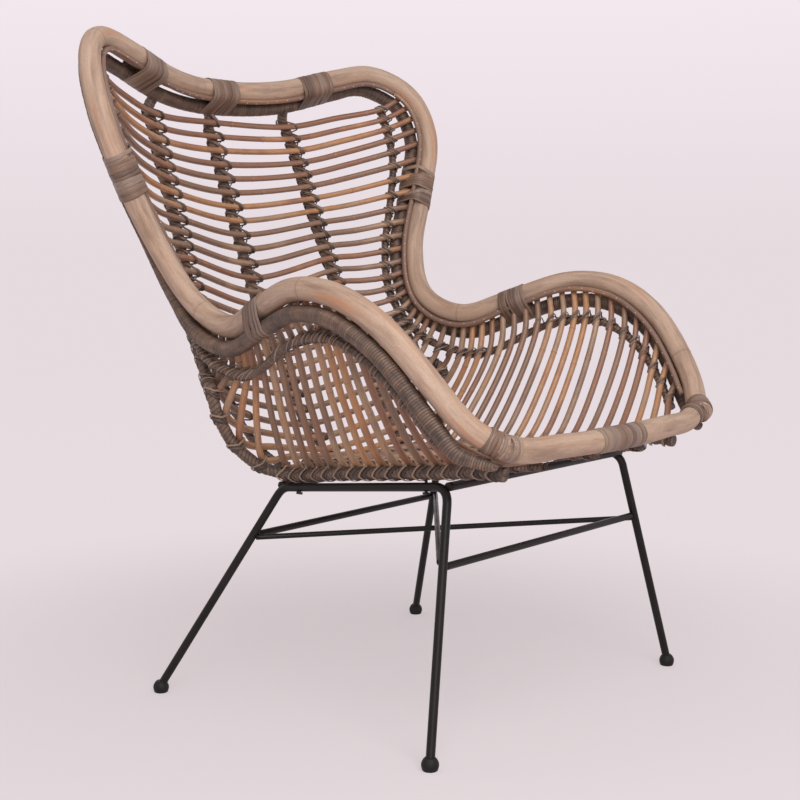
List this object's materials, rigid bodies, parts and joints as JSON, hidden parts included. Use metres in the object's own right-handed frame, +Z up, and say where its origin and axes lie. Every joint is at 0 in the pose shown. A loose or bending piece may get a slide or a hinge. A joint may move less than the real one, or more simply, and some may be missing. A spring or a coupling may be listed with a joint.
{
  "type": "rattan wing lounge chair",
  "caption": "Low lounge chair: a bucket of bent canes lashed over spars inside a thick pole rim with wings and arms, on a black steel rod base with ball feet.",
  "frame": {"origin": "on the floor, under the middle of the chair's overall width and depth", "axes": "+Z up, the sitter faces -Y, +X is the sitter's left"},
  "size_m": [0.7708, 0.8136, 0.967],
  "materials": {
    "pole": "smooth peeled rattan pole, pale tan-grey, streaked",
    "cane": "thin rattan cane with its skin on, red-brown to honey",
    "peel": "wound and lashed flat peel, matte dark grey-brown",
    "steel": "satin black powder coat",
    "foot": "moulded black rubber ball foot"
  },
  "bodies": {
    "root": {"rim_pole": "pole", "front_rail": "pole", "trim_cane_left": "pole", "trim_cane_right": "pole", "wrapped_rim": "peel", "front_binding": "peel", "corner_binding_left": "peel", "corner_binding_right": "peel", "side_spar_left": "peel", "side_spar_right": "peel", "back_spar_left": "peel", "back_spar_right": "peel", "edge_pole_left": "peel", "edge_pole_right": "peel", "keel_spar_and_back_hoops": "cane", "hoop_15": "cane", "hoop_16": "cane", "hoop_17": "cane", "hoop_18": "cane", "hoop_19": "cane", "hoop_20": "cane", "hoop_21": "cane", "hoop_22": "cane", "hoop_23": "cane", "hoop_24": "cane", "hoop_25": "cane", "hoop_26": "cane", "hoop_27": "cane", "hoop_28": "cane", "hoop_29": "cane", "hoop_30": "cane", "hoop_31": "cane", "hoop_32": "cane", "hoop_33": "cane", "hoop_34": "cane", "hoop_35": "cane", "hoop_36": "cane", "hoop_37": "cane", "hoop_38": "cane", "hoop_39": "cane", "hoop_40": "cane", "hoop_41": "cane", "hoop_42": "cane", "hoop_43": "cane", "side_frame_left": "steel", "side_frame_right": "steel", "front_cross_bar": "steel", "rear_cross_bar": "steel", "front_stretcher": "steel", "rear_stretcher": "steel", "brace_upper": "steel", "brace_lower": "steel", "screw_rear_left": "steel", "screw_rear_right": "steel", "screw_front_left": "steel", "screw_front_right": "steel", "foot_front_left": "foot", "foot_front_right": "foot", "foot_rear_left": "foot", "foot_rear_right": "foot"}
  },
  "joints": []
}
